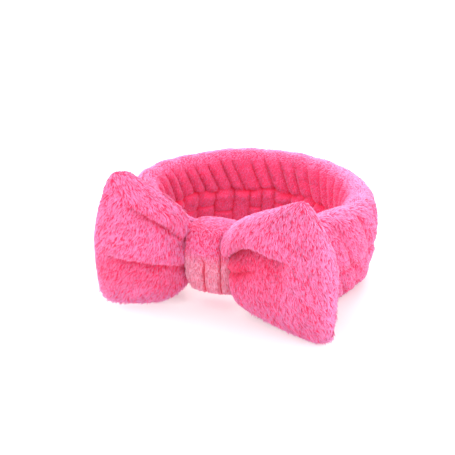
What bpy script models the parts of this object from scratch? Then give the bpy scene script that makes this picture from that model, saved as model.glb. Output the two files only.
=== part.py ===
"""Spa headband: a plush fleece tube gathered on elastic, with a padded bow held by a wrapped knot.

Metres, +Z up, bow towards -Y. The origin is the bottom centre of the whole headband's box, so it stands
on Z = 0. The band cover, the elastic and the lengthwise seam thread are each cut into a front half, which
carries the bow, and a rear half, which moves away when the headband stretches over a head.
"""
import math

import bmesh
import bpy

# ---- Driving dimensions (metres) ----
GAP = 0.0003                    # clearance kept between pieces that touch
RING_Y = 0.0085                 # how far the ring's centre lies behind the origin
RING_HALF_WIDTH = 0.084         # ring centreline, half width in X
RING_DEPTH_FRONT = 0.070        # ring centreline, centre to front
RING_DEPTH_REAR = 0.079         # ring centreline, centre to rear
RING_SQUARENESS = 1.9           # superellipse exponent of the ring in plan
BAND_HEIGHT = 0.070
BAND_THICKNESS = 0.026
FLEECE = 0.004                  # cover fabric with its pile
SECTION_SQUARENESS = 3.2        # superellipse exponent of the cover's section
CREASE_DEPTH = 0.20             # share of the thickness lost at mid height, on both walls
CREASE_SPREAD = 0.008
FLAT_SHARE = 0.95               # the top and bottom edges are flattened at this share of the height
SEAM_SLIT = 0.0014              # opening left along the lengthwise seam
PINCH_HALF_WIDTH = 0.029        # where the knot stops squeezing the band
PINCH_SHARPNESS = 8             # how suddenly the band narrows there
PINCHED_HEIGHT = 0.0422
PINCHED_THICKNESS = 0.013
PINCHED_MID_Z = 0.0391
PINCH_INWARD = 0.0081

ELASTIC_HEIGHT = 0.020
ELASTIC_THICKNESS = 0.0012
THREAD_R = 0.00035

KNOT_WIDTH = 0.032
KNOT_FABRIC = 0.004
KNOT_FRONT_Y = -0.0845          # from the ring's centre
KNOT_BACK_Y = -0.0498
KNOT_BOTTOM_Z = 0.013
KNOT_TOP_Z = 0.0655
KNOT_CORNER = 0.006

BOW_FABRIC = 0.003
WAIST_HALF_X = 0.0163           # the waist ends just outside the knot
BOW_ROOT_X = 0.0190             # where the wings start, and the axes that they swing about
BOW_MID_Y = -0.0745             # middle of the pinched waist, from the ring's centre
EDGE_RISE = 0.62                # shape of a wing's top edge, from the knot to its full height
EDGE_DROP = 7                   # how soon its lower edge drops to the table
WING_SWEEP = 1.8                # how its plan curves forward
BOW_ROOT_LOW = 0.019
BOW_ROOT_HIGH = 0.0592
EDGE_GAP = 0.0014               # room for the edge seam between a wing's two panels
ROOT_PUFF = 0.0005              # half thickness of the filling where the knot squeezes it

WINGS = {
    "left": {"side": -1, "length": 0.0600, "forward": 0.0240, "top": 0.1015, "full_at": 0.60,
             "low": 0.0012, "front_puff": 0.0105, "back_puff": 0.0040, "top_cut": 0.17, "low_cut": 0.05},
    "right": {"side": 1, "length": 0.0780, "forward": 0.0245, "top": 0.1020, "full_at": 0.85,
              "low": 0.0006, "front_puff": 0.0105, "back_puff": 0.0040, "top_cut": 0.16, "low_cut": 0.05},
}

RING_STEPS = 20                 # segments in each half of the ring
SECTION_STEPS = 16              # intervals round the cover's section
WING_STEPS_U = 12
WING_STEPS_V = 9

PINK = (0.93, 0.15, 0.36)
FADED_PINK = (0.86, 0.24, 0.38)
WHITE = (0.86, 0.84, 0.83)
THREAD_PINK = (0.80, 0.12, 0.30)


# ---- Scene and mesh helpers ----
def clear_scene():
    for item in list(bpy.data.objects):
        bpy.data.objects.remove(item, do_unlink=True)


def make_material(name, colour, roughness):
    material = bpy.data.materials.new(name)
    material.use_nodes = True
    shader = material.node_tree.nodes["Principled BSDF"]
    shader.inputs["Base Color"].default_value = (*colour, 1.0)
    shader.inputs["Roughness"].default_value = roughness
    shader.inputs["Metallic"].default_value = 0.0
    return material


def add_object(name, points, faces, material, pivot=None):
    """Make one closed mesh object; a moving piece is parented to the empty on its joint."""
    mesh = bpy.data.meshes.new(name)
    mesh.from_pydata(points, [], faces)
    mesh.materials.append(material)
    shape = bmesh.new()
    shape.from_mesh(mesh)
    bmesh.ops.recalc_face_normals(shape, faces=shape.faces)
    shape.to_mesh(mesh)
    shape.free()
    item = bpy.data.objects.new(name, mesh)
    bpy.context.scene.collection.objects.link(item)
    if pivot is not None:
        item.parent = pivot
        item.location = [-value for value in pivot.location]
    return item


def add_pivot(name, location):
    pivot = bpy.data.objects.new(name, None)
    pivot.location = location
    bpy.context.scene.collection.objects.link(pivot)
    return pivot


def bridge(first, second, count):
    """Quads between two closed loops of `count` points that start at the given indices."""
    quads = []
    for i in range(count):
        j = (i + 1) % count
        quads.append((first + i, first + j, second + j, second + i))
    return quads


def loft(loops, closed, cap):
    """Skin equal closed loops in order; `cap` gives the end faces as index tuples of one loop."""
    count = len(loops[0])
    points = [point for loop in loops for point in loop]
    faces = []
    for k in range(len(loops) - 1):
        faces += bridge(k * count, (k + 1) * count, count)
    last = (len(loops) - 1) * count
    if closed:
        faces += bridge(last, 0, count)
    else:
        faces += cap
        faces += [tuple(last + i for i in face) for face in cap]
    return points, faces


def tube(path, radius, sides=6, closed=False):
    """Round thread along a path, with its rings square to the path."""
    loops = []
    count = len(path)
    for k, here in enumerate(path):
        before = path[(k - 1) % count] if closed or k else here
        after = path[(k + 1) % count] if closed or k < count - 1 else here
        along = unit([after[i] - before[i] for i in range(3)])
        guide = (0.0, 0.0, 1.0) if abs(along[2]) < 0.8 else (0.0, 1.0, 0.0)
        if loops:
            guide = keep
        across = unit(cross(along, guide))
        keep = cross(across, along)
        loop = []
        for s in range(sides):
            angle = 2 * math.pi * s / sides
            loop.append(tuple(here[i] + radius * (math.cos(angle) * across[i] + math.sin(angle) * keep[i])
                              for i in range(3)))
        loops.append(loop)
    return loft(loops, closed, [tuple(range(sides))])


def unit(vector):
    length = math.sqrt(sum(value * value for value in vector))
    return [value / length for value in vector]


def cross(a, b):
    return [a[1] * b[2] - a[2] * b[1], a[2] * b[0] - a[0] * b[2], a[0] * b[1] - a[1] * b[0]]


def signed_power(value, exponent):
    return math.copysign(abs(value) ** exponent, value)


# ---- The gathered band ----
def ring_point(angle):
    """Plan position of the band's centreline; the front is at -90 degrees."""
    power = 2 / RING_SQUARENESS
    depth = RING_DEPTH_REAR if math.sin(angle) > 0 else RING_DEPTH_FRONT
    x = RING_HALF_WIDTH * signed_power(math.cos(angle), power)
    y = depth * signed_power(math.sin(angle), power) + PINCH_INWARD * pinch(x, math.sin(angle))
    return x, y + RING_Y


def pinch(x, toward_rear):
    """1 under the knot, falling to 0 where the band is free."""
    if toward_rear >= 0:
        return 0.0
    return 1 / (1 + (abs(x) / PINCH_HALF_WIDTH) ** PINCH_SHARPNESS)


def ring_frame(angle):
    """Centreline point, outward normal and the pinch weight at an angle."""
    step = 0.002
    x, y = ring_point(angle)
    x0, y0 = ring_point(angle - step)
    x1, y1 = ring_point(angle + step)
    length = math.hypot(x1 - x0, y1 - y0)
    return (x, y), ((y1 - y0) / length, -(x1 - x0) / length), pinch(x, math.sin(angle))


def band_size(weight):
    """Half thickness, half height and middle height of the band for a pinch weight."""
    half_thick = (BAND_THICKNESS + (PINCHED_THICKNESS - BAND_THICKNESS) * weight) / 2
    half_high = (BAND_HEIGHT + (PINCHED_HEIGHT - BAND_HEIGHT) * weight) / 2
    mid_z = BAND_HEIGHT / 2 + (PINCHED_MID_Z - BAND_HEIGHT / 2) * weight
    return half_thick, half_high, mid_z


def section_outline(half_thick, half_high):
    """Two puffy rolls with a crease between them, open at the seam on the inner wall."""
    outline = []
    power = 2 / SECTION_SQUARENESS
    for k in range(SECTION_STEPS + 1):
        angle = math.pi + 2 * math.pi * k / SECTION_STEPS
        out = half_thick * signed_power(math.cos(angle), power)
        up = half_high * signed_power(math.sin(angle), power)
        if k == 0:
            up = -SEAM_SLIT / 2
        if k == SECTION_STEPS:
            up = SEAM_SLIT / 2
        out *= 1 - CREASE_DEPTH * math.exp(-(up / CREASE_SPREAD) ** 2)
        if 0 < k < SECTION_STEPS:
            up = max(-half_high, min(half_high, up / FLAT_SHARE))
        outline.append((out, up))
    return outline


def place(frame, out, z):
    (x, y), normal, _ = frame
    return (x + normal[0] * out, y + normal[1] * out, z)


def ring_angles(start, end, steps=RING_STEPS):
    return [math.radians(start + (end - start) * k / steps) for k in range(steps + 1)]


def band_cover(start, end):
    """C-shaped fleece wall swept round half of the ring."""
    loops = []
    for angle in ring_angles(start, end):
        frame = ring_frame(angle)
        half_thick, half_high, mid_z = band_size(frame[2])
        outer = section_outline(half_thick, half_high)
        inner = section_outline(half_thick - FLEECE, half_high - FLEECE)
        loop = [place(frame, out, mid_z + up) for out, up in outer]
        loop += [place(frame, out, mid_z + up) for out, up in reversed(inner)]
        loops.append(loop)
    last = 2 * SECTION_STEPS + 1
    cap = [(k, k + 1, last - k - 1, last - k) for k in range(SECTION_STEPS)]
    return loft(loops, False, cap)


def inner_wall(weight):
    """Where the crease brings the inside of the inner wall, measured out from the centreline."""
    half_thick = band_size(weight)[0]
    return -(half_thick - FLEECE) * (1 - CREASE_DEPTH)


def elastic_strip(start, end):
    loops = []
    for angle in ring_angles(start, end):
        frame = ring_frame(angle)
        mid_z = band_size(frame[2])[2]
        back = inner_wall(frame[2]) + GAP
        front = back + ELASTIC_THICKNESS
        low = mid_z - ELASTIC_HEIGHT / 2
        high = mid_z + ELASTIC_HEIGHT / 2
        loops.append([place(frame, back, low), place(frame, front, low),
                      place(frame, front, high), place(frame, back, high)])
    return loft(loops, False, [(0, 1, 2, 3)])


def seam_thread(start, end):
    """Thread that closes the tube, lying in the slit of the inner wall."""
    path = []
    for angle in ring_angles(start, end):
        frame = ring_frame(angle)
        half_thick, _, mid_z = band_size(frame[2])
        path.append(place(frame, -(half_thick - FLEECE / 2) * (1 - CREASE_DEPTH), mid_z))
    return tube(path, THREAD_R)


def build_band(fleece, white, thread, rear_pivot):
    gap_angle = math.degrees(GAP / RING_HALF_WIDTH)
    front = (180 + gap_angle, 360 - gap_angle)
    rear = (gap_angle, 180 - gap_angle)
    add_object("band_cover_front", *band_cover(*front), fleece)
    add_object("band_cover_rear", *band_cover(*rear), fleece, rear_pivot)
    add_object("elastic_front", *elastic_strip(*front), white)
    add_object("elastic_rear", *elastic_strip(*rear), white, rear_pivot)
    add_object("seam_thread_front", *seam_thread(*front), thread)
    add_object("seam_thread_rear", *seam_thread(*rear), thread, rear_pivot)


def build_cross_seam(thread):
    """Zigzag thread that joins the ends of the tube, on the inner wall under the knot."""
    half_thick, half_high, mid_z = band_size(1.0)
    y = RING_Y - RING_DEPTH_FRONT + PINCH_INWARD + half_thick + THREAD_R + GAP
    stitches = 10
    path = []
    for k in range(stitches + 1):
        z = mid_z + (2 * k / stitches - 1) * 0.75 * half_high
        path.append((0.0015 * (-1) ** k, y, z))
    add_object("cross_seam_thread", *tube(path, THREAD_R), thread)


# ---- The knot ----
def rounded_loop(y0, y1, z0, z1, corner, per_corner=4):
    """Points of a rounded rectangle in the YZ plane."""
    path = []
    for centre_y, centre_z, start in ((y1 - corner, z1 - corner, 0), (y0 + corner, z1 - corner, 90),
                                      (y0 + corner, z0 + corner, 180), (y1 - corner, z0 + corner, 270)):
        for k in range(per_corner):
            angle = math.radians(start + 90 * k / (per_corner - 1))
            path.append((centre_y + corner * math.cos(angle), centre_z + corner * math.sin(angle)))
    return path


def build_knot(fleece, thread):
    """Folded strap round the waist of the bow and the band, with its edges rounded."""
    outer = (KNOT_FRONT_Y + RING_Y, KNOT_BACK_Y + RING_Y, KNOT_BOTTOM_Z, KNOT_TOP_Z)
    half = KNOT_WIDTH / 2
    profile = ((-half, 0.5), (-half + 0.0015, 0.0), (half - 0.0015, 0.0), (half, 0.5),
               (half - 0.0015, 1.0), (-half + 0.0015, 1.0))
    loops = []
    for x, depth in profile:
        inset = depth * KNOT_FABRIC
        corner = KNOT_CORNER - inset
        ring = rounded_loop(outer[0] + inset, outer[1] - inset, outer[2] + inset, outer[3] - inset, corner)
        loops.append([(x, y, z) for y, z in ring])
    turned = [[loop[k] for loop in loops] for k in range(len(loops[0]))]
    add_object("knot_wrap", *loft(turned, True, []), fleece)

    y = KNOT_BACK_Y + RING_Y + THREAD_R + GAP
    stitches = 8
    path = [(0.0025 * (-1) ** k, y, 0.024 + 0.035 * k / stitches) for k in range(stitches + 1)]
    add_object("knot_closing_thread", *tube(path, THREAD_R), thread)


# ---- The bow ----
def wing_heights(wing, u):
    """Lowest and highest point of the wing's outline at a share u of its length."""
    rise = min(1.0, u / wing["full_at"]) ** EDGE_RISE
    high = BOW_ROOT_HIGH + (wing["top"] - BOW_ROOT_HIGH) * rise
    low = wing["low"] + (BOW_ROOT_LOW - wing["low"]) * (1 - u) ** EDGE_DROP
    corner = max(0.0, (u - 0.86) / 0.14) ** 2 * 0.012
    return low + corner, high - corner


def wing_plan(wing, u):
    """Distance out from the knot and the sweep forward."""
    return wing["length"] * u, BOW_MID_Y + RING_Y - wing["forward"] * (1 - (1 - u) ** WING_SWEEP)


def wing_point(wing, u, v, offset=0.0):
    """Point of the wing's middle surface, moved forward by `offset` along its normal."""
    out, y = wing_plan(wing, u)
    step = 0.01
    out0, y0 = wing_plan(wing, max(0.0, u - step))
    out1, y1 = wing_plan(wing, min(1.0, u + step))
    length = math.hypot(out1 - out0, y1 - y0)
    low, high = wing_heights(wing, u)
    cut = wing["top_cut"] * max(0.0, v) ** 2 + wing["low_cut"] * max(0.0, -v) ** 2
    out *= 1 - cut * u
    turned = min(1.0, u / 0.2)
    normal = (turned * (y1 - y0) / length, -1 + turned * (1 - (out1 - out0) / length))
    z = (low + high) / 2 + v * (high - low) / 2
    x = wing["side"] * (BOW_ROOT_X + out + normal[0] * offset)
    return (x, y + normal[1] * offset, z)


def puff(size, u, v):
    """Thickness of the filling: squeezed at the knot, closed at the sewn edges."""
    fullest = 0.45
    if u < fullest:
        along = 1 - (1 - u / fullest) ** 2.0
    else:
        along = max(0.0, 1 - ((u - fullest) / (1 - fullest)) ** 2.6) ** 0.7
    across = max(0.0, 1 - abs(v) ** 2.6) ** 0.7
    return ROOT_PUFF * across + (size - ROOT_PUFF) * along * across


def shares_u(low=0.0, high=1.0, steps=WING_STEPS_U):
    return [low + (high - low) * (k / steps) ** 1.25 for k in range(steps + 1)]


def shares_v(limit=1.0, steps=WING_STEPS_V):
    return [limit * math.sin(math.pi / 2 * (2 * k / steps - 1)) for k in range(steps + 1)]


def slab(rows_a, rows_b):
    """Closed solid between two equal grids of points."""
    across = len(rows_a[0])
    down = len(rows_a)
    points = [point for row in rows_a for point in row] + [point for row in rows_b for point in row]
    shift = across * down
    faces = []
    for i in range(down - 1):
        for j in range(across - 1):
            a = i * across + j
            quad = (a, a + across, a + across + 1, a + 1)
            faces.append(quad)
            faces.append(tuple(shift + k for k in quad))
    rim = [j for j in range(across)] + [i * across + across - 1 for i in range(1, down)]
    rim += [(down - 1) * across + j for j in range(across - 2, -1, -1)]
    rim += [i * across for i in range(down - 2, 0, -1)]
    for k, a in enumerate(rim):
        b = rim[(k + 1) % len(rim)]
        faces.append((a, b, shift + b, shift + a))
    return points, faces


def wing_panel(wing, facing):
    """One fleece panel, puffed away from the middle: facing is 1 for the front and -1 for the back."""
    size = wing["front_puff"] if facing > 0 else wing["back_puff"]
    grids = []
    for extra in (BOW_FABRIC, 0.0):
        rows = []
        for u in shares_u():
            rows.append([wing_point(wing, u, v, facing * (EDGE_GAP / 2 + puff(size, u, v) + extra))
                         for v in shares_v()])
        grids.append(rows)
    return slab(*grids)


def wing_wadding(wing):
    grids = []
    for facing, size in ((1, wing["front_puff"]), (-1, wing["back_puff"])):
        rows = []
        for u in shares_u(0.10, 0.90, 9):
            rows.append([wing_point(wing, u, v, facing * (EDGE_GAP / 2 + puff(size, u, v) * 0.9 - GAP))
                         for v in shares_v(0.86, 7)])
        grids.append(rows)
    return slab(*grids)


def wing_edge_thread(wing):
    """Seam thread that follows the bottom, outer and top edges between the two panels."""
    inset_v = 0.95
    inset_u = 0.965
    path = [wing_point(wing, u, -inset_v) for u in shares_u(0.03, inset_u)]
    path += [wing_point(wing, inset_u, v) for v in shares_v(inset_v)[1:-1]]
    path += [wing_point(wing, u, inset_v) for u in reversed(shares_u(0.03, inset_u))]
    return tube(path, THREAD_R, 5)


def build_wings(fleece, wadding, thread, pivots):
    for name, wing in WINGS.items():
        pivot = pivots[name]
        add_object(f"{name}_wing_front_panel", *wing_panel(wing, 1), fleece, pivot)
        add_object(f"{name}_wing_back_panel", *wing_panel(wing, -1), fleece, pivot)
        add_object(f"{name}_wing_wadding", *wing_wadding(wing), wadding, pivot)
        add_object(f"{name}_wing_edge_thread", *wing_edge_thread(wing), thread, pivot)


def build_waist(fleece, thread):
    """Gathered middle of the bow's two panels, and the thread wound round it."""
    mid_y = BOW_MID_Y + RING_Y
    for name, facing in (("waist_front_layer", 1), ("waist_back_layer", -1)):
        grids = []
        for extra in (BOW_FABRIC, 0.0):
            rows = []
            for k in range(5):
                x = WAIST_HALF_X * (k / 2 - 1)
                row = []
                for v in shares_v():
                    z = (BOW_ROOT_LOW + BOW_ROOT_HIGH) / 2 + v * (BOW_ROOT_HIGH - BOW_ROOT_LOW) / 2
                    depth = EDGE_GAP / 2 + puff(ROOT_PUFF, 0.0, v) + extra
                    row.append((x, mid_y - facing * depth, z))
                rows.append(row)
            grids.append(rows)
        add_object(name, *slab(*grids), fleece)

    reach = EDGE_GAP / 2 + ROOT_PUFF + BOW_FABRIC + GAP + THREAD_R
    grow = GAP + THREAD_R
    loop = rounded_loop(mid_y - reach, mid_y + reach, BOW_ROOT_LOW - grow, BOW_ROOT_HIGH + grow, 0.0008, 2)
    turns = 4
    count = turns * len(loop)
    path = [(0.008 * (2 * k / count - 1), *loop[k % len(loop)]) for k in range(count + 1)]
    add_object("waist_gathering_thread", *tube(path, THREAD_R, 5), thread)


def main():
    clear_scene()
    fleece = make_material("coral_fleece", PINK, 0.95)
    knot_fleece = make_material("knot_fleece", FADED_PINK, 0.95)
    wadding = make_material("polyester_wadding", WHITE, 1.0)
    elastic = make_material("woven_elastic", WHITE, 0.8)
    thread = make_material("sewing_thread", THREAD_PINK, 0.6)

    rear_pivot = add_pivot("band_stretch_axis", (0.0, RING_Y, 0.0))
    pivots = {name: add_pivot(f"{name}_wing_axis", (wing["side"] * BOW_ROOT_X, BOW_MID_Y + RING_Y, 0.042))
              for name, wing in WINGS.items()}

    build_band(fleece, elastic, thread, rear_pivot)
    build_cross_seam(thread)
    build_knot(knot_fleece, thread)
    build_waist(fleece, thread)
    build_wings(fleece, wadding, thread, pivots)


main()
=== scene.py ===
import math

import bpy
import numpy as np
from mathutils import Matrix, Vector


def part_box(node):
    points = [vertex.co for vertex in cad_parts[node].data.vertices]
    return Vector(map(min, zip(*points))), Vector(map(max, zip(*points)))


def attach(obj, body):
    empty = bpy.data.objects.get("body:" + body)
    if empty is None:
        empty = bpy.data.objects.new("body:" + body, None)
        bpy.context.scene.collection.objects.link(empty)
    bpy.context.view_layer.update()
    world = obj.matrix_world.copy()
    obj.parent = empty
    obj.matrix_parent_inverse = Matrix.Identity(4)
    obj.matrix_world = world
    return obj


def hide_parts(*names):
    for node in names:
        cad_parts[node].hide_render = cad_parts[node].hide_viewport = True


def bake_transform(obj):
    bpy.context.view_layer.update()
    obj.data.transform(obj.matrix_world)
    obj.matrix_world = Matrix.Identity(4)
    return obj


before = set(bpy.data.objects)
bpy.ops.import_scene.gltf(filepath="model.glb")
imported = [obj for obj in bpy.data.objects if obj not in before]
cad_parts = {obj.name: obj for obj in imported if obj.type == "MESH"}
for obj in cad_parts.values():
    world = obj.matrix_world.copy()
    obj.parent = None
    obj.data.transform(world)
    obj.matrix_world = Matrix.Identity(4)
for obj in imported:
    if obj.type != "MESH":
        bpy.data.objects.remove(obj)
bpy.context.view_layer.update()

MM = 0.001


# ---- The frame's sizes ----
REAR_LOW, REAR_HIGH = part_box("band_cover_rear")
KNOT_LOW, KNOT_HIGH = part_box("knot_wrap")
WAIST_LOW, WAIST_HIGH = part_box("waist_front_layer")
WAIST_BACK_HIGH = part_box("waist_back_layer")[1]
HALF_THICK = 13 * MM                                  # half thickness of the puffed band
HALF_WIDTH = REAR_HIGH[0] - HALF_THICK                # ring centreline, half width
RING_Y = REAR_LOW[1]                                  # the ring's centre
DEPTH_REAR = REAR_HIGH[1] - HALF_THICK - RING_Y
DEPTH_FRONT = 70 * MM                                 # ring's centre to its front, before the pinch
BAND_HEIGHT = REAR_HIGH[2]
PINCHED_HEIGHT = KNOT_HIGH[2] - KNOT_LOW[2] - 9 * MM  # the band's height where the knot squeezes it
PINCHED_MID = (KNOT_HIGH[2] + KNOT_LOW[2]) / 2
WAIST_Y = (WAIST_LOW[1] + WAIST_BACK_HIGH[1]) / 2     # middle of the bow where the knot squeezes it
PILE = 0.9 * MM                                       # how far the pile stands above the fabric
RISE = 0.45                                           # how steeply a tuft leaves the fabric
FLOOR_GAP = 0.2 * MM                                  # nothing goes lower than this above the floor


# ---- Small numeric helpers ----
def smooth(x, low, high):
    t = np.clip((x - low) / (high - low), 0, 1)
    return t * t * (3 - 2 * t)


def bell(x, width):
    return np.exp(-(x / width) ** 2)


def unit(vectors):
    return vectors / np.maximum(np.linalg.norm(vectors, axis=-1, keepdims=True), 1e-12)


def power(value, exponent):
    return np.sign(value) * np.abs(value) ** exponent


def wave(x, seed, period, count=4):
    """Smooth irregular wave, repeating over `period`, between about -1 and 1."""
    rng = np.random.default_rng(seed)
    total = np.zeros_like(x)
    for k in range(1, count + 1):
        phase = rng.uniform(0, 2 * math.pi)
        total = total + math.sqrt(1 / k) * np.sin(2 * math.pi * k * x / period + phase)
    return total / 1.8


def grid_normals(points, wrap_u, wrap_v):
    """Unit normals of a grid of points, by central differences."""
    def slope(axis, wrap):
        if wrap:
            return np.roll(points, -1, axis) - np.roll(points, 1, axis)
        return np.gradient(points, axis=axis)
    return unit(np.cross(slope(0, wrap_u), slope(1, wrap_v)))


# ---- Meshes ----
def grid_faces(rows, columns, wrap_u, wrap_v):
    i, j = np.meshgrid(np.arange(rows if wrap_u else rows - 1),
                       np.arange(columns if wrap_v else columns - 1), indexing="ij")
    row, next_row = i * columns, (i + 1) % rows * columns
    next_j = (j + 1) % columns
    return np.stack([row + j, next_row + j, next_row + next_j, row + next_j], -1).reshape(-1, 4)


def mesh_object(name, points, faces, material, attributes=None, uv=None):
    """Object from arrays; `faces` is a list of (n, k) index arrays."""
    mesh = bpy.data.meshes.new(name)
    corners = np.concatenate([block.ravel() for block in faces]).astype(np.int32)
    sizes = np.concatenate([np.full(len(block), block.shape[1]) for block in faces]).astype(np.int32)
    starts = np.concatenate([[0], np.cumsum(sizes)[:-1]]).astype(np.int32)
    mesh.vertices.add(len(points))
    mesh.vertices.foreach_set("co", np.asarray(points, np.float32).ravel())
    mesh.loops.add(len(corners))
    mesh.loops.foreach_set("vertex_index", corners)
    mesh.polygons.add(len(sizes))
    mesh.polygons.foreach_set("loop_start", starts)
    mesh.polygons.foreach_set("loop_total", sizes)
    mesh.polygons.foreach_set("use_smooth", np.ones(len(sizes), bool))
    for key, values in (attributes or {}).items():
        attribute = mesh.attributes.new(key, "FLOAT", "POINT")
        attribute.data.foreach_set("value", np.asarray(values, np.float32).ravel())
    if uv is not None:
        layer = mesh.uv_layers.new(name="OFBake")
        layer.data.foreach_set("uv", np.asarray(uv, np.float32)[corners].ravel())
    mesh.update()
    mesh.validate()
    mesh.materials.append(material)
    item = bpy.data.objects.new(name, mesh)
    bpy.context.scene.collection.objects.link(item)
    return item


# ---- Materials ----
BODY_TONE = 0.42                                      # place of the body colour, from 0, root, to 1, tip


def fleece_material(name, root, body, tip, faded_root, faded_tip, shade):
    """Plush pile: a deeper colour at the roots and between the tufts as painted shade, paler tips, a slow
    drift of tone, a crease colour for painted shade, and a soft sheen.
    """
    material = bpy.data.materials.new(name)
    material.use_nodes = True
    nodes, links = material.node_tree.nodes, material.node_tree.links
    shader = nodes["Principled BSDF"]
    shader.inputs["Roughness"].default_value = 0.9
    shader.inputs["Specular IOR Level"].default_value = 0.15
    shader.inputs["Sheen Weight"].default_value = 0.25
    shader.inputs["Sheen Roughness"].default_value = 0.5
    shader.inputs["Sheen Tint"].default_value = (1.0, 0.78, 0.96, 1.0)

    def attribute(key):
        node = nodes.new("ShaderNodeAttribute")
        node.attribute_name = key
        return node.outputs["Fac"]

    def mix(factor, first, second):
        node = nodes.new("ShaderNodeMix")
        node.data_type = "RGBA"
        links.new(factor, node.inputs["Factor"])
        links.new(first, node.inputs[6])
        links.new(second, node.inputs[7])
        return node.outputs[2]

    # Root to tip: the darker roots are painted shade between the tufts.
    ramp = nodes.new("ShaderNodeValToRGB")
    ramp.color_ramp.elements[0].color = (*root, 1.0)
    ramp.color_ramp.elements[1].color = (*tip, 1.0)
    ramp.color_ramp.elements.new(BODY_TONE).color = (*body, 1.0)
    links.new(attribute("along"), ramp.inputs["Fac"])
    faded = nodes.new("ShaderNodeValToRGB")
    faded.color_ramp.elements[0].color = (*faded_root, 1.0)
    faded.color_ramp.elements[1].color = (*faded_tip, 1.0)
    links.new(attribute("along"), faded.inputs["Fac"])
    colour = mix(attribute("fade"), ramp.outputs["Color"], faded.outputs["Color"])
    # Painted shade: a deep crease colour, mixed in at creases and hollows.
    shade_colour = nodes.new("ShaderNodeRGB")
    shade_colour.outputs[0].default_value = (*shade, 1.0)
    colour = mix(attribute("painted_shade"), colour, shade_colour.outputs[0])

    noise = nodes.new("ShaderNodeTexNoise")
    noise.inputs["Scale"].default_value = 45.0
    noise.inputs["Detail"].default_value = 3.0
    coordinates = nodes.new("ShaderNodeTexCoord")
    links.new(coordinates.outputs["Object"], noise.inputs["Vector"])
    drift = nodes.new("ShaderNodeMapRange")
    drift.inputs["To Min"].default_value = 0.90
    drift.inputs["To Max"].default_value = 1.10
    links.new(noise.outputs["Fac"], drift.inputs["Value"])
    tone = nodes.new("ShaderNodeMath")
    links.new(drift.outputs["Result"], tone.inputs[0])
    links.new(attribute("tint"), tone.inputs[1])
    bright = nodes.new("ShaderNodeHueSaturation")
    links.new(tone.outputs[0], bright.inputs["Value"])
    links.new(colour, bright.inputs["Color"])
    links.new(bright.outputs["Color"], shader.inputs["Base Color"])
    return material


def thread_material(name, colour):
    """Twisted thread: fine slanting plies in the colour."""
    material = bpy.data.materials.new(name)
    material.use_nodes = True
    nodes, links = material.node_tree.nodes, material.node_tree.links
    shader = nodes["Principled BSDF"]
    shader.inputs["Roughness"].default_value = 0.55
    twist = nodes.new("ShaderNodeTexWave")
    twist.bands_direction = "DIAGONAL"
    twist.inputs["Scale"].default_value = 700.0
    coordinates = nodes.new("ShaderNodeTexCoord")
    links.new(coordinates.outputs["Object"], twist.inputs["Vector"])
    ramp = nodes.new("ShaderNodeValToRGB")
    ramp.color_ramp.elements[0].color = (*(0.5 * share for share in colour), 1.0)
    ramp.color_ramp.elements[1].color = (*colour, 1.0)
    links.new(twist.outputs["Fac"], ramp.inputs["Fac"])
    links.new(ramp.outputs["Color"], shader.inputs["Base Color"])
    return material


# ---- Pile ----
BASE_TONE = 0.25                                      # place of the fabric under the pile on that scale, darker, as painted shade under the pile
TUFT_ALONG = [0.1, 0.5, 0.5, 0.6, 0.9]                # root to tip: foot, two sides, ridge and point
TUFT_SIZES = (0.7, 1.3)                               # smallest and largest, as shares of the size asked for
TUFT_BEND = 0.45                                      # share of its length at which a tuft bends over
TIP_RISE = 0.10                                       # how steeply it goes on from there
FOOT_DEPTH = 0.5 * MM                                 # how far its foot is sunk into the fabric
STRAY = 0.14                                          # how far single tufts stray sideways
TILT = 0.22                                           # how far single tufts' normals are turned
DRIFT = 0.22                                          # how far the nap strays sideways, in slow waves
BROAD_DRIFT = np.array([[310.0], [270.0], [390.0]])   # those waves' directions, in radians per metre
FINE_DRIFT = np.array([[-710.0], [830.0], [650.0]])


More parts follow.
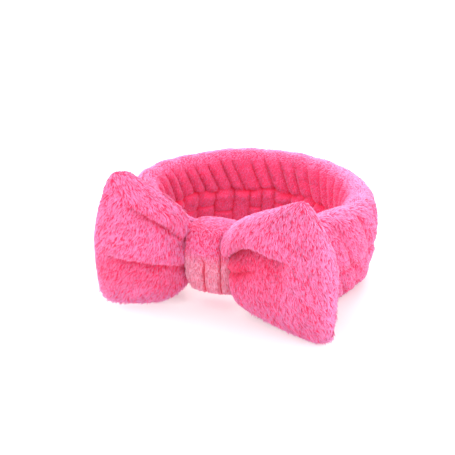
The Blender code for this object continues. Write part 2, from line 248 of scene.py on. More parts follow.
class Surface:
    """Grid of points that grows tufts. It holds a nap direction, and at each point: fade (share of the
    faded colours), height (share of the pile's full length), painted_shade (share of the crease colour,
    painted shade in creases and hollows) and painted_sheen (how far the tufts turn to their tips'
    colour, a painted sheen)."""

    def __init__(self, points, wrap_u, wrap_v, nap, flip=False,
                 fade=None, height=None, painted_shade=None, painted_sheen=None):
        self.points = points
        self.normals = grid_normals(points, wrap_u, wrap_v) * (-1 if flip else 1)
        self.nap = unit(nap - self.normals * np.sum(nap * self.normals, -1, keepdims=True))
        self.fade = np.zeros(points.shape[:2]) if fade is None else fade
        self.height = np.ones(points.shape[:2]) if height is None else height
        self.painted_shade = np.zeros(points.shape[:2]) if painted_shade is None else painted_shade
        self.painted_sheen = np.zeros(points.shape[:2]) if painted_sheen is None else painted_sheen
        self.faces = grid_faces(*points.shape[:2], wrap_u, wrap_v)
        self.flip = flip

    def base(self, name, material):
        flat = self.points.reshape(-1, 3)
        faces = self.faces[:, ::-1] if self.flip else self.faces
        rows, columns = self.points.shape[:2]
        u, v = np.meshgrid(np.linspace(0.01, 0.99, rows), np.linspace(0.01, 0.99, columns),
                           indexing="ij")
        zeros = np.zeros(len(flat))
        values = {"along": zeros + BASE_TONE, "fade": self.fade.ravel(), "tint": zeros,
                  "painted_shade": self.painted_shade.ravel()}
        return mesh_object(name, flat, [faces], material, values, np.stack([u.ravel(), v.ravel()], -1))

    def scatter(self, spacing, seed, keep=None):
        """Roots spread evenly over the area: points, normals, nap, fade, height, painted shade and painted
        sheen there.
        """
        rng = np.random.default_rng(seed)
        flat = self.points.reshape(-1, 3)
        a, b, c, d = (flat[self.faces[:, k]] for k in range(4))
        area = 0.5 * np.linalg.norm(np.cross(c - a, d - b), axis=-1)
        chosen = np.ones(len(area), bool) if keep is None else keep(0.25 * (a + b + c + d))
        wanted = area / spacing ** 2 * chosen
        count = np.floor(wanted + rng.random(len(wanted))).astype(int)
        cell = np.repeat(np.arange(len(count)), count)
        s, t = rng.random((2, len(cell), 1))
        corners = self.faces[cell]

        def between(values):
            values = values.reshape(len(flat), -1)
            p, q, r, w = (values[corners[:, k]] for k in range(4))
            return (p * (1 - s) + q * s) * (1 - t) + (w * (1 - s) + r * s) * t
        shares = [between(values)[:, 0] for values in (self.fade, self.height, self.painted_shade, self.painted_sheen)]
        return between(self.points), unit(between(self.normals)), unit(between(self.nap)), *shares

    def pile(self, name, material, spacing, length, width, seed, keep=None, contrast=1.0):
        """Fine spindle-shaped tufts that lean over with the nap; five corners and six faces each.

        Each face carries the fabric's own normal, a little turned, so that light falls on the pile as
        on a surface and not on hundreds of thousands of blades."""
        root, normal, nap, fade, height, painted_shade, painted_sheen = self.scatter(spacing, seed, keep)
        rng = np.random.default_rng(seed + 1)
        count = len(root)
        across = np.cross(normal, nap)
        drift = np.sin(root @ BROAD_DRIFT + 1.3) * DRIFT
        drift += np.sin(root @ FINE_DRIFT) * DRIFT
        lay = unit(nap + (drift + STRAY * rng.normal(size=(count, 1))) * across)
        side = np.cross(lay, normal)
        height = height * (1 - 0.45 * painted_shade)
        long = (length * rng.uniform(*TUFT_SIZES, count) * height)[:, None]
        wide = (width * rng.uniform(*TUFT_SIZES, count) * (0.6 + 0.4 * height))[:, None]
        foot = root - normal * FOOT_DEPTH
        middle = root + unit(lay + normal * RISE) * long * TUFT_BEND
        onward = unit(lay + normal * TIP_RISE + 0.10 * rng.normal(size=(count, 3)))
        tip = middle + onward * long * (1 - TUFT_BEND)
        half = wide * 0.5
        corners = [foot, middle + side * half, middle - side * half, middle + normal * half, tip]
        bare = unit(normal + TILT * rng.normal(size=(count, 3)))
        normals = [bare, bare + side * 0.8, bare - side * 0.8, bare, unit(bare + lay * 0.6)]
        points = np.stack(corners, 1).reshape(-1, 3)
        points[:, 2] = np.maximum(points[:, 2], FLOOR_GAP)
        pattern = np.array([[0, 3, 2], [0, 1, 3], [2, 3, 4], [3, 1, 4], [0, 2, 1], [1, 2, 4]])
        faces = (5 * np.arange(count)[:, None, None] + pattern[None]).reshape(-1, 3)
        facing = np.stack(normals, 1)[:, pattern]
        facing[:, 4:] = -bare[:, None, None]
        tint = np.repeat(rng.normal(size=count) * 0.08, 5)
        along = np.tile(TUFT_ALONG, count) + np.repeat(0.12 - 0.80 * rng.random(count) ** 3, 5)
        spread = (along - BODY_TONE) * np.repeat(contrast * height, 5)
        along = np.clip(BODY_TONE + spread + np.repeat(painted_sheen, 5), 0, 1)
        cells = math.ceil(math.sqrt(count))
        cell_u, cell_v = np.divmod(np.arange(count), cells)
        local_u = np.tile([0.5, 0.2, 0.8, 0.5, 0.5], count)
        local_v = np.tile(TUFT_ALONG, count)
        uv = np.stack([np.repeat(cell_u, 5) + local_u, np.repeat(cell_v, 5) + local_v], -1) / cells
        values = {"along": along, "fade": np.repeat(fade, 5), "tint": tint, "painted_shade": np.repeat(painted_shade, 5)}
        item = mesh_object(name, points, [faces], material, values, uv)
        item.data.normals_split_custom_set(unit(facing.reshape(-1, 3)))
        return item


# ---- The band ----
RING_ROUND = 2 / 1.9                                  # superellipse exponents, where 1 is an ellipse
TUBE_ROUND = 2 / 2.7
PINCH_HALF = 29 * MM                                  # half width of the length that the knot squeezes
PINCH_BACK = 8.1 * MM                                 # how far it is drawn back from the ring's curve
PINCH_THIN = 6.5 * MM                                 # how much its half thickness shrinks
LEAN = 1.8 * MM                                       # how far the upper edge leans out at the sides
GATHERS = {"step": (9.5 * MM, 17 * MM), "slant": -0.5, "depth": 5.4 * MM, "seed": 11}
BLOCKS = {"step": (10 * MM, 19 * MM), "slant": 0.06, "depth": 4.6 * MM, "seed": 12}
WRINKLES = {"step": (13 * MM, 24 * MM), "slant": 0.5, "depth": 4.6 * MM, "seed": 13}
FOLD_LEVEL = 0.62                                     # the folds rise above this share and sink below it
RIM_PAINTED_SHEEN, OUTER_PAINTED_SHEEN = 0.35, 0.12                     # painted sheen: how much paler the upper rim and outer wall are
MOST_FOLDS = 200                                      # random values drawn for each kind of fold


def pinch(x, angle):
    """1 where the knot squeezes the front of the ring, 0 elsewhere."""
    return np.where(np.sin(angle) < 0, 1 / (1 + (np.abs(x) / PINCH_HALF) ** 8), 0)


def ring_centre(angle):
    """Plan of the ring's middle line, and the pinch there."""
    depth = np.where(np.sin(angle) > 0, DEPTH_REAR, DEPTH_FRONT)
    x = HALF_WIDTH * power(np.cos(angle), RING_ROUND)
    pinched = pinch(x, angle)
    y = RING_Y + depth * power(np.sin(angle), RING_ROUND) + PINCH_BACK * pinched
    return np.stack([x, y], -1), pinched


def spots(total, low, high, seed):
    """Crease positions along the ring, at irregular steps between low and high."""
    rng = np.random.default_rng(seed)
    steps = []
    while sum(steps) < total:
        steps.append(rng.uniform(low, high))
    steps = np.array(steps) * total / sum(steps)
    return np.concatenate([[0], np.cumsum(steps)])


def creases(distance, height, total, kind):
    """0 in the creases and 1 on the rounded folds between them, and the number of each fold."""
    places = spots(total, *kind["step"], kind["seed"])
    position = np.mod(distance + kind["slant"] * height, places[-1])
    index = np.clip(np.searchsorted(places, position, side="right") - 1, 0, len(places) - 2)
    share = (position - places[index]) / (places[index + 1] - places[index])
    return np.sin(math.pi * np.clip(share, 0, 1)) ** 0.55, index


def fold_values(seed, low, high, index):
    """One random value for each fold, at every point."""
    return np.random.default_rng(seed).uniform(low, high, MOST_FOLDS)[index]


def band_points(rows=520, columns=132):
    """The tube's surface with its nap, pile height, painted shade and painted sheen shares."""
    angle = np.linspace(0, 2 * math.pi, rows, endpoint=False) - math.pi / 2
    centre, pinched = ring_centre(angle)
    tangent = unit(np.roll(centre, -1, 0) - np.roll(centre, 1, 0))
    normal = np.stack([tangent[:, 1], -tangent[:, 0]], -1)
    step = np.linalg.norm(np.roll(centre, -1, 0) - centre, axis=-1)
    distance = np.concatenate([[0], np.cumsum(step)[:-1]])
    total = step.sum()

    around = np.linspace(0, 2 * math.pi, columns, endpoint=False) + math.pi
    half_thick = HALF_THICK - PILE - PINCH_THIN * pinched
    lean = LEAN * np.cos(angle)
    half_high = BAND_HEIGHT / 2 - PILE + (PINCHED_HEIGHT - BAND_HEIGHT) / 2 * pinched
    mid = BAND_HEIGHT / 2 + (PINCHED_MID - BAND_HEIGHT / 2) * pinched
    out_share = power(np.cos(around), TUBE_ROUND)[None, :]
    up_share = power(np.sin(around), TUBE_ROUND)[None, :]
    out = half_thick[:, None] * out_share
    up = half_high[:, None] * up_share
    s = np.broadcast_to(distance[:, None], out.shape)
    inner = smooth(-out_share, -0.25, 0.25) * np.ones_like(out)
    outer = smooth(out_share, 0.0, 0.7) * np.ones_like(out)
    free = (1 - pinched)[:, None]

    # Inner wall: slanting gathers above the lengthwise seam, tucked blocks below it.
    seam = 4 * MM + 1.6 * MM * wave(s, 5, total, 14)
    above = smooth(up - seam, -0.8 * MM, 0.8 * MM)
    fold_up, index_up = creases(s, up, total, GATHERS)
    fold_low, index_low = creases(s, up, total, BLOCKS)
    reach = fold_values(21, 0.82, 1.05, index_up)
    upper = above * (1 - smooth(up_share, 0.74 * reach, 1.02 * reach))
    lower = (1 - above) * (1 - smooth(-up_share, 0.75, 1.0))
    depth_up = fold_values(23, 0.7, 1.15, index_up)
    depth_low = fold_values(24, 0.6, 1.2, index_low)
    tuck = fold_values(25, -16 * MM, -4 * MM, index_low)
    tucked = fold_values(26, 0, 1, index_low) > 0.5
    push = -(fold_up - FOLD_LEVEL) * upper * GATHERS["depth"] * depth_up * inner
    push -= (fold_low - FOLD_LEVEL) * lower * BLOCKS["depth"] * depth_low * inner
    push += 3.4 * MM * inner * bell(up - seam, 1.5 * MM)
    push += 2.6 * MM * inner * lower * tucked * bell(up - tuck, 1.3 * MM)
    push -= 1.6 * MM * inner * bell(up - seam + 5 * MM, 3.5 * MM) * fold_low
    # Painted shade in the creases of the gathers and blocks, along the seam and under the tucked folds.
    painted_shade = upper * (1 - fold_up) ** 3 + lower * (1 - fold_low) ** 3 + 0.9 * bell(up - seam, 1.0 * MM)
    painted_shade = inner * painted_shade + 0.6 * inner * lower * tucked * bell(up - tuck, 1.0 * MM)
    height = 1 - 0.45 * inner

    # Outer wall: faint slanting wrinkles, and one wandering crease a little below the middle.
    fold_out, index_out = creases(s, up, total, WRINKLES)
    crumple = fold_values(22, 0.3, 1.0, index_out)
    line = -3.0 * MM + 3.4 * MM * wave(s, 6, total, 9)
    strength = np.clip(0.62 + 0.5 * wave(s, 8, total, 11), 0.15, 1.1)
    wrinkle = (fold_out - 0.6) * crumple * WRINKLES["depth"]
    push += outer * wrinkle * (1 - smooth(np.abs(up_share), 0.80, 1.0))
    push -= outer * 4.4 * MM * strength * bell(up - line, 3.2 * MM)
    push += outer * 1.2 * MM * strength * bell(up - line - 9 * MM, 7 * MM)
    # Painted shade along the wandering crease and in the wrinkles' creases.
    painted_shade = painted_shade + outer * 0.8 * strength * bell(up - line, 2.0 * MM)
    painted_shade = painted_shade + outer * 0.7 * crumple * (1 - fold_out) ** 3
    out = out + push * (0.25 + 0.75 * free) + lean[:, None] * up_share
    droop = -2.6 * MM * strength * outer * bell(up - line - 3.5 * MM, 4 * MM) * free
    up = up + 0.9 * MM * power(up_share, 3) * wave(s, 7, total, 24) + droop

    points = np.empty((*out.shape, 3))
    points[..., 0] = centre[:, None, 0] + normal[:, None, 0] * out
    points[..., 1] = centre[:, None, 1] + normal[:, None, 1] * out
    points[..., 2] = np.maximum(mid[:, None] + up, PILE * 0.6)
    nap = np.zeros_like(points)
    nap[..., 0] = 0.5 * tangent[:, None, 0]
    nap[..., 1] = 0.5 * tangent[:, None, 1]
    nap[..., 2] = -1.0
    # Painted sheen: the upper rim and, less, the outer wall turn to the tips' paler colour.
    painted_sheen = RIM_PAINTED_SHEEN * smooth(up_share, 0.80, 1.0) + OUTER_PAINTED_SHEEN * outer
    return points, nap, height, np.clip(painted_shade, 0, 1), painted_sheen


# ---- The bow ----
# Sizes of each wing:
# - side: -1 left of the knot, 1 right of it; root: where it leaves the knot; length: from there outward
# - forward: how far its outer end stands before the waist
# - top: height of its upper corner, reached at the share full_at of the length
# - low, low_tilt: the lower edge's height at the outer end, and its rise towards the knot
# - front, back: how far each panel is puffed
# - top_cut, low_cut, cut_power: how the outer edge slopes in; top_corner, low_corner: how round it ends
# - full_puff_at, lead: how soon it gets its full thickness; drop: how soon its lower edge comes down
WINGS = {
    "left": {"side": -1, "root": 19 * MM, "length": 59.8 * MM, "forward": 24 * MM,
             "top": 104.2 * MM, "full_at": 0.66, "low": 4.0 * MM, "low_tilt": 0.0,
             "front": 12.5 * MM, "back": 6.5 * MM, "top_cut": 0.17, "low_cut": 0.02, "cut_power": 1.6,
             "top_corner": 17 * MM, "low_corner": 8 * MM, "full_puff_at": 0.40, "lead": 0.02, "drop": 7},
    "right": {"side": 1, "root": 15.5 * MM, "length": 82.5 * MM, "forward": 24.5 * MM,
              "top": 102.5 * MM, "full_at": 0.85, "low": 1.2 * MM, "low_tilt": 8.5 * MM,
              "front": 12.5 * MM, "back": 6.5 * MM, "top_cut": 0.22, "low_cut": 0.025, "cut_power": 1.9,
              "top_corner": 12 * MM, "low_corner": 8 * MM, "full_puff_at": 0.26, "lead": 0.12, "drop": 22},
}
# Pleats that run out from the knot:
# - line: height in mm along the wing; fade: where it dies out
# - above, below, lift, drop, sharp: see fold()
# - lip, lip_reach: how far the roll above hangs over, and up to what height
# - shade: how far below the line the painted shade lies
PLEATS = {
    "left": (
        {"line": lambda t: 56.5 + 66 * t - 35 * t ** 2, "fade": (0.34, 0.66), "above": 22 * MM,
         "below": 11 * MM, "lift": 6.5 * MM, "drop": 7.5 * MM, "sharp": 1.8 * MM,
         "lip": 3.5 * MM, "lip_reach": 7 * MM, "shade": 1.5 * MM},
        {"line": lambda t: 36.0 + 22 * t - 12 * t ** 2, "fade": (0.50, 0.92), "above": 16 * MM,
         "below": 14 * MM, "lift": 5.5 * MM, "drop": 7.5 * MM, "sharp": 1.6 * MM,
         "lip": 3.5 * MM, "lip_reach": 6 * MM, "shade": 1.5 * MM},
    ),
    "right": (
        {"line": lambda t: 52.5 + 54 * t - 105 * np.maximum(0, t - 0.15) ** 2, "fade": (0.50, 0.70),
         "above": 32 * MM, "below": 20 * MM, "lift": 10 * MM, "drop": 13 * MM, "sharp": 2.0 * MM,
         "lip": 5.5 * MM, "lip_reach": 9 * MM, "shade": 2 * MM},
        {"line": lambda t: 37.5 + 26 * t, "fade": (0.16, 0.36), "above": 8 * MM,
         "below": 9 * MM, "lift": 6 * MM, "drop": 5 * MM, "sharp": 1.6 * MM,
         "lip": 2.5 * MM, "lip_reach": 4 * MM, "shade": 1.5 * MM},
    ),
}
CREASE_SHADE = 3.5 * MM                               # width of the painted shade along a pleat
EDGE_THICK = 3.2 * MM                                 # half thickness that a wing keeps up to its edge
EDGE_BAND = 0.985                                     # from this share outwards the pile is short
INSIDE = 0.16                                         # share of the length that runs on inside the knot
SHORTEST_PILE = 0.6                                   # how much shorter the pile is at the very edge
EDGE_PAINTED_SHEEN = 0.36                                      # painted sheen: how much paler the pile is along the edge
MOST_PAINTED_SHADE = 0.75                                        # the most painted shade in a pleat
THREAD_RADIUS = 0.55 * MM                             # of the seam round a wing
ROOT_LOW, ROOT_HIGH = WAIST_LOW[2] - 1 * MM, WAIST_HIGH[2] + 5 * MM


def wing_frame(wing, u):
    """Plan position and height range along the wing; u below 0 runs inside the knot."""
    inside = np.minimum(u, 0.0)
    t = np.clip(u, 0, 1)
    out = wing["length"] * t + inside * wing["length"]
    y = WAIST_Y - wing["forward"] * (1 - (1 - t) ** 1.8)
    high = ROOT_HIGH + (wing["top"] - ROOT_HIGH) * np.minimum(1, t / wing["full_at"]) ** 0.62
    low = wing["low"] + wing["low_tilt"] * (1 - t)
    low = low + (ROOT_LOW - wing["low"]) * (1 - t) ** wing["drop"]
    corner = np.clip((t - 0.80) / 0.20, 0, 1) ** 2.6
    tuck = smooth(-u, 0.0, 0.12) * 6 * MM
    return out, y, low + corner * wing["low_corner"] + tuck * 0.3, high - corner * wing["top_corner"] - tuck


def fold(d, above, below, lift, drop, sharp):
    """Bulge over a crease and hollow under it; d is the height above the crease.

    lift and drop are how far they go; above, below and sharp are how fast each dies out."""
    high = np.maximum(d, 0)
    over = lift * (1 - np.exp(-high / sharp)) * np.exp(-high / above)
    under = -drop * np.exp(np.minimum(d, 0) / below)
    return np.where(d > 0, over - drop * np.exp(-high / sharp), under)


def wing_folds(name, t, z, v):
    """What the pleats do to the front panel: bulge forward, shift downward, and share of painted shade."""
    extra, shift, painted_shade = np.zeros((3, *z.shape))
    for pleat in PLEATS[name]:
        d = z - pleat["line"](t) * MM
        fade = 1 - smooth(t, *pleat["fade"])
        shape = [pleat[key] for key in ("above", "below", "lift", "drop", "sharp")]
        extra += fade * fold(d, *shape)
        roll = smooth(d, -1 * MM, 1 * MM) * np.exp(-np.maximum(d, 0) / pleat["lip_reach"])
        shift -= pleat["lip"] * fade * roll
        painted_shade += fade * bell(d + pleat["shade"], CREASE_SHADE)
    first, second = (z - pleat["line"](t) * MM for pleat in PLEATS[name])
    if name == "left":
        # Painted shade below the second pleat, where the panel turns down.
        painted_shade += 0.35 * smooth(-second, 0, 5 * MM) * smooth(second, -34 * MM, -14 * MM)
    else:
        # Painted shade in a broad hollow under the first pleat and lower down beside the knot, and a bulge
        # beside the knot below it.
        painted_shade += (1 - smooth(t, 0.50, 0.70)) * 0.5 * bell(first + 11 * MM, 12 * MM)
        painted_shade += 0.3 * bell(z - 38 * MM, 16 * MM) * (1 - smooth(t, 0.35, 0.65))
        extra += 4.5 * MM * bell(z - 27 * MM, 15 * MM) * (1 - smooth(t, 0.06, 0.5))
    return extra, shift * (1 - np.abs(v) ** 6), painted_shade


def wing_sheet(name, facing, rows=150, columns=170):
    """Front panel (facing 1) or back panel (facing -1): points, painted shade, pile height and painted sheen
    shares.
    """
    wing = WINGS[name]
    u = np.linspace(-INSIDE, 1, rows)[:, None] * np.ones((1, columns))
    v = np.sin(np.linspace(-math.pi / 2, math.pi / 2, columns))[None, :] * np.ones((rows, 1))
    out, y, low, high = wing_frame(wing, u)
    z = (low + high) / 2 + v * (high - low) / 2
    t = np.clip(u, 0, 1)
    cut = wing["top_cut"] * np.maximum(0, v) ** wing["cut_power"] + wing["low_cut"] * np.maximum(0, -v) ** 3
    out = out * (1 - cut * t)
    size = wing["front"] if facing > 0 else wing["back"]
    full = wing["full_puff_at"]
    swell = np.clip(u + wing["lead"], 0, 1)
    along = np.where(swell < full, 1 - np.maximum(0, 1 - swell / full) ** 2.2,
                     np.maximum(0, 1 - np.maximum(0, (t - full) / (1 - full)) ** 3.2) ** 0.55)
    across = np.where(v > 0, np.maximum(0, 1 - np.abs(v) ** 3.0) ** 0.55,
                      np.maximum(0, 1 - np.abs(v) ** 2.6) ** 0.75)
    closed = np.maximum(0, 1 - np.maximum(0, (t - 0.9) / 0.1) ** 2) ** 0.5
    thick = (EDGE_THICK * closed + (size - EDGE_THICK) * along) * across
    shift, painted_shade = np.zeros_like(z), np.zeros_like(z)
    if facing > 0:
        extra, shift, painted_shade = wing_folds(name, t, z, v)
        thick = thick + extra * across * smooth(u, -0.12, 0.02)
    else:
        thick = thick + 1.6 * MM * np.sin(v * 7 + 1) * np.exp(-t / 0.35) * across
    slope = wing["forward"] * 1.8 * (1 - t) ** 0.8 / wing["length"] * smooth(t, 0, 0.25)
    norm = np.sqrt(1 + slope ** 2)
    offset = facing * thick
    points = np.empty((*u.shape, 3))
    points[..., 0] = wing["side"] * (wing["root"] + out - slope / norm * offset)
    points[..., 1] = y - offset / norm
    points[..., 2] = z + shift
    height = 1 - SHORTEST_PILE * np.maximum(smooth(np.abs(v), EDGE_BAND, 1.0), smooth(t, EDGE_BAND, 1.0))
    # Painted sheen: paler pile along the wing's edges and outer end, less along its upper edge.
    painted_sheen = np.maximum(smooth(np.abs(v), 0.86, 1.0) * (1 - 0.4 * (v > 0)), smooth(t, 0.88, 1.0))
    return points, np.clip(painted_shade, 0, 1) * MOST_PAINTED_SHADE, height, EDGE_PAINTED_SHEEN * painted_sheen


def edge_thread(name, front):
    """Thread of the seam round a wing. It lies just outside the lower edge, and in the pile elsewhere."""
    path = np.concatenate([front[20:, 0], front[-1, 1:-1], front[:20:-1, -1]])[::2]
    centre = path.mean(0)
    path = path + unit(path - centre) * (0.6 - 1.4 * smooth(path[:, 2:], 8 * MM, 20 * MM)) * MM
    tangent = unit(np.gradient(path, axis=0))
    side = unit(np.cross(tangent, np.array([0.0, 1.0, 0.0])))
    lift = np.cross(tangent, side)
    sides = 6
    angle = np.linspace(0, 2 * math.pi, sides, endpoint=False)[None, :, None]
    ring = path[:, None] + THREAD_RADIUS * (np.cos(angle) * side[:, None] + np.sin(angle) * lift[:, None])
    ring[..., 2] = np.maximum(ring[..., 2], FLOOR_GAP)
    last = (len(path) - 1) * sides
    caps = [np.arange(sides)[None, ::-1], last + np.arange(sides)[None]]
    faces = [grid_faces(len(path), sides, False, True), *caps]
    return mesh_object(f"{name}_wing_seam", ring.reshape(-1, 3), faces, THREAD)


def wing_nap(name, points):
    """Nap combed down and outward; on the left wing's upper roll it is combed down towards the knot."""
    x, z = np.abs(points[..., 0]), points[..., 2]
    nap = np.zeros_like(points)
    nap[..., 1] = -0.1
    nap[..., 2] = -1.0
    if name == "left":
        t = (x - WINGS[name]["root"]) / WINGS[name]["length"]
        roll = smooth(z - (64 + 42 * t) * MM, 0, 8 * MM) * (1 - smooth(t, 0.62, 0.95))
        nap[..., 0] = -0.6 + 1.6 * roll
    else:
        nap[..., 0] = 0.45 - 0.35 * smooth(z, 30 * MM, 85 * MM)
    return nap


# ---- The knot ----
KNOT_PILE = 1.2 * MM                                  # room left for the pile inside the CAD knot's box
KNOT_TOP = KNOT_HIGH[2] - 3.2 * MM                    # height that the fabric reaches, before its crown
LOOP_ROUND = 2 / 4.5                                  # superellipse exponent of the strap's loop
STRAP_WIDE, STRAP_DEEP = 3.5, 2.2                     # powers of its section, across width and thickness
STRAP_HALF_THICK = 1.9 * MM                           # its edges lie this far under its face
STRAP_CROWN = 1.6 * MM                                # how much more the middle of its face stands out
FOLD_X, FOLD_WIDTH, FOLD_DEPTH = -2.3 * MM, 1.2 * MM, 2.7 * MM
STITCH_X, STITCH_WIDTH, STITCH_DEPTH = 9.6 * MM, 1.0 * MM, 3.0 * MM


def knot_surface(rows=170, columns=144):
    """Strap loop round the waist, a closed ring of its cross-section, with a fold and a stitched line.
    Gives points, front share and painted shade."""
    low_y, high_y = KNOT_LOW[1] + KNOT_PILE, KNOT_HIGH[1] - KNOT_PILE
    low_z, high_z = KNOT_LOW[2] + KNOT_PILE, KNOT_TOP
    a = np.linspace(0, 2 * math.pi, rows, endpoint=False)[:, None]
    centre_y, centre_z = (low_y + high_y) / 2, (low_z + high_z) / 2
    cos_a, sin_a = power(np.cos(a), LOOP_ROUND), power(np.sin(a), LOOP_ROUND)
    b = np.linspace(0, 2 * math.pi, columns, endpoint=False)[None, :]
    half = (KNOT_HIGH[0] - KNOT_LOW[0]) / 2 - 0.6 * MM
    x = half * np.cos(b) * np.ones_like(a)
    out_share = np.maximum(0, 1 - np.abs(np.cos(b)) ** STRAP_WIDE) ** (1 / STRAP_DEEP)
    inset = STRAP_HALF_THICK * (1 - np.sign(np.sin(b)) * out_share)
    crown = STRAP_CROWN * (1 - (x / half) ** 2) * (np.sin(b) > 0)
    front = smooth(-np.cos(a), 0.2, 0.8)
    fold_line = front * bell(x - FOLD_X, FOLD_WIDTH) * smooth(-sin_a, -0.35, 0.05)
    stitch_line = front * bell(x - STITCH_X, STITCH_WIDTH)
    crown = crown - FOLD_DEPTH * fold_line - STITCH_DEPTH * stitch_line
    # Painted shade in the fold and along the stitched line.
    painted_shade = 0.9 * fold_line + 0.95 * stitch_line
    reach_y = (high_y - low_y) / 2 - inset + crown
    reach_z = (high_z - low_z) / 2 - 0.5 * inset + crown * 0.2
    # The left side of its face swells at mid height and draws in at the bottom.
    left = front * np.clip(-x / half, 0, 1)
    bulge = left * (2.4 * (1 - sin_a ** 2) - 2.2 * smooth(-sin_a, 0.4, 1.0)) * MM
    points = np.empty((rows, columns, 3))
    points[..., 0] = x - bulge
    points[..., 1] = centre_y + reach_y * cos_a
    points[..., 2] = centre_z + reach_z * sin_a
    return points, front, painted_shade


# ---- Building ----
FLEECE = fleece_material("coral_fleece", root=(0.97, 0.026, 0.095), body=(0.90, 0.095, 0.26),
                         tip=(0.90, 0.30, 0.60), faded_root=(0.84, 0.13, 0.22),
                         faded_tip=(0.93, 0.45, 0.62), shade=(1.0, 0.028, 0.10))
THREAD = thread_material("sewing_thread", (0.74, 0.06, 0.19))
SPACING = 0.95 * MM


def build_band():
    points, nap, height, painted_shade, painted_sheen = band_points()
    surface = Surface(points, True, True, nap, height=height, painted_shade=painted_shade, painted_sheen=painted_sheen)
    base = surface.base("band_fleece", FLEECE)
    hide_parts("band_cover_front", "band_cover_rear", "elastic_front", "elastic_rear",
                "seam_thread_front", "seam_thread_rear", "cross_seam_thread")
    pieces = [base]
    parts = {
        "band_pile_rear_left": lambda c: (c[:, 1] > RING_Y) & (c[:, 0] < 0),
        "band_pile_rear_right": lambda c: (c[:, 1] > RING_Y) & (c[:, 0] >= 0),
        "band_pile_front_left": lambda c: (c[:, 1] <= RING_Y) & (c[:, 0] < 0),
        "band_pile_front_right": lambda c: (c[:, 1] <= RING_Y) & (c[:, 0] >= 0),
    }
    for seed, (name, keep) in enumerate(parts.items()):
        pieces.append(surface.pile(name, FLEECE, SPACING, 3.8 * MM, 0.95 * MM, 100 + 10 * seed, keep,
                                   contrast=0.75))
    for piece in pieces:
        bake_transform(piece)


def build_wings():
    for seed, (name, wing) in enumerate(WINGS.items()):
        side = wing["side"]
        front, painted_shade_front, height_front, painted_sheen_front = wing_sheet(name, 1)
        back, painted_shade_back, height_back, painted_sheen_back = wing_sheet(name, -1)
        points = np.concatenate([front, back[:, -2:0:-1]], 1)
        painted_shade = np.concatenate([painted_shade_front, painted_shade_back[:, -2:0:-1]], 1)
        nap = wing_nap(name, points)
        surface = Surface(points, False, True, nap, flip=side < 0, painted_shade=painted_shade)
        base = surface.base(f"{name}_wing_fleece", FLEECE)
        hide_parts(f"{name}_wing_front_panel", f"{name}_wing_back_panel", f"{name}_wing_wadding",
                    f"{name}_wing_edge_thread")
        if name == "left":
            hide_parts("waist_front_layer", "waist_back_layer", "waist_gathering_thread")
        sheet = Surface(front, False, False, wing_nap(name, front), flip=side < 0, height=height_front,
                        painted_shade=painted_shade_front, painted_sheen=painted_sheen_front)
        pile_front = sheet.pile(f"{name}_wing_pile_front", FLEECE, SPACING * 0.75, 4.6 * MM, 0.65 * MM,
                                300 + 20 * seed, contrast=1.4)
        sheet = Surface(back, False, False, wing_nap(name, back), flip=side > 0, height=height_back,
                        painted_shade=painted_shade_back, painted_sheen=painted_sheen_back)
        pile_back = sheet.pile(f"{name}_wing_pile_back", FLEECE, SPACING, 4.6 * MM, 0.85 * MM,
                               310 + 20 * seed)
        seam = edge_thread(name, front)
        for piece in (base, pile_front, pile_back, seam):
            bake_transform(piece)


def build_knot():
    points, front, painted_shade = knot_surface()
    nap = np.zeros_like(points)
    nap[..., 0] = 0.2
    nap[..., 2] = -1.0
    # The lower half of its face is paler.
    lower = 1 - smooth(points[..., 2], PINCHED_MID - 2 * MM, PINCHED_MID + 11 * MM)
    fade = lower * front * 0.95
    surface = Surface(points, True, True, nap, flip=True, fade=fade, painted_shade=painted_shade)
    base = surface.base("knot_strap", FLEECE)
    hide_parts("knot_wrap", "knot_closing_thread")
    pile = surface.pile("knot_pile", FLEECE, 0.75 * MM, 3.0 * MM, 0.7 * MM, 500)
    for piece in (base, pile):
        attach(piece, "front")


# ---- Camera, floor and light ----
CAMERA_AZIMUTH, CAMERA_ELEVATION = math.radians(21.57), math.radians(23.32)
CAMERA_TARGET = Vector((-0.0067, RING_Y - 0.0288, 0.0434))
CAMERA_DISTANCE = 0.732
CAMERA_LENS = 77.1                                    # mm, on a 36 mm sensor


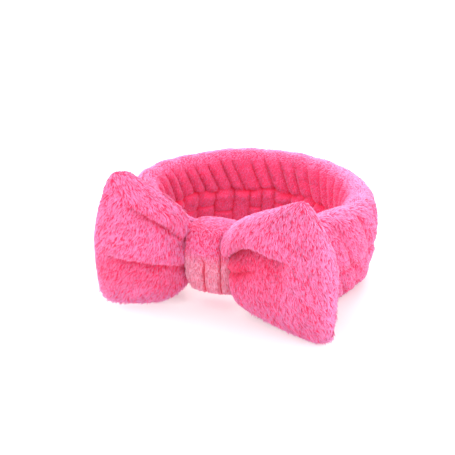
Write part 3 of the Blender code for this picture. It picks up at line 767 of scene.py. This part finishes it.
def aim(item, target):
    item.rotation_euler = (Vector(target) - item.location).to_track_quat("-Z", "Y").to_euler()


def area_light(name, location, target, size, energy):
    data = bpy.data.lights.new(name, "AREA")
    data.size = size
    data.energy = energy
    lamp = bpy.data.objects.new(name, data)
    bpy.context.scene.collection.objects.link(lamp)
    lamp.location = location
    aim(lamp, target)


def build_stage():
    scene = bpy.context.scene
    data = bpy.data.cameras.new("camera")
    data.sensor_width = 36.0
    data.lens = CAMERA_LENS
    camera = bpy.data.objects.new("camera", data)
    scene.collection.objects.link(camera)
    towards = Vector((math.sin(CAMERA_AZIMUTH) * math.cos(CAMERA_ELEVATION),
                      -math.cos(CAMERA_AZIMUTH) * math.cos(CAMERA_ELEVATION),
                      math.sin(CAMERA_ELEVATION)))
    camera.location = CAMERA_TARGET + CAMERA_DISTANCE * towards
    aim(camera, CAMERA_TARGET)
    scene.camera = camera

    floor_material = bpy.data.materials.new("pale_floor")
    floor_material.use_nodes = True
    shader = floor_material.node_tree.nodes["Principled BSDF"]
    shader.inputs["Base Color"].default_value = (0.82, 0.82, 0.82, 1)
    shader.inputs["Roughness"].default_value = 0.9
    shader.inputs["Emission Color"].default_value = (1, 1, 1, 1)
    shader.inputs["Emission Strength"].default_value = 0.22
    floor = mesh_object("floor", np.array([(-6, -6, 0), (6, -6, 0), (6, 6, 0), (-6, 6, 0)], float),
                        [np.array([[0, 1, 2, 3]])], floor_material)

    world = bpy.data.worlds.new("studio")
    world.use_nodes = True
    world.node_tree.nodes["Background"].inputs["Color"].default_value = (1, 1, 1, 1)
    world.node_tree.nodes["Background"].inputs["Strength"].default_value = 1.03
    scene.world = world
    area_light("key", (-0.7, -1.1, 1.5), (0, 0, 0.05), 1.2, 12)
    area_light("fill", (1.5, -0.4, 0.7), (0, 0, 0.05), 1.4, 11)
    area_light("rim", (-0.3, 1.3, 1.2), (0, 0, 0.05), 1.4, 27)
    area_light("side", (-1.4, 0.2, 0.5), (0, -0.05, 0.05), 1.0, 14)
    scene.view_settings.view_transform = "Standard"


build_stage()
build_band()
build_wings()
build_knot()
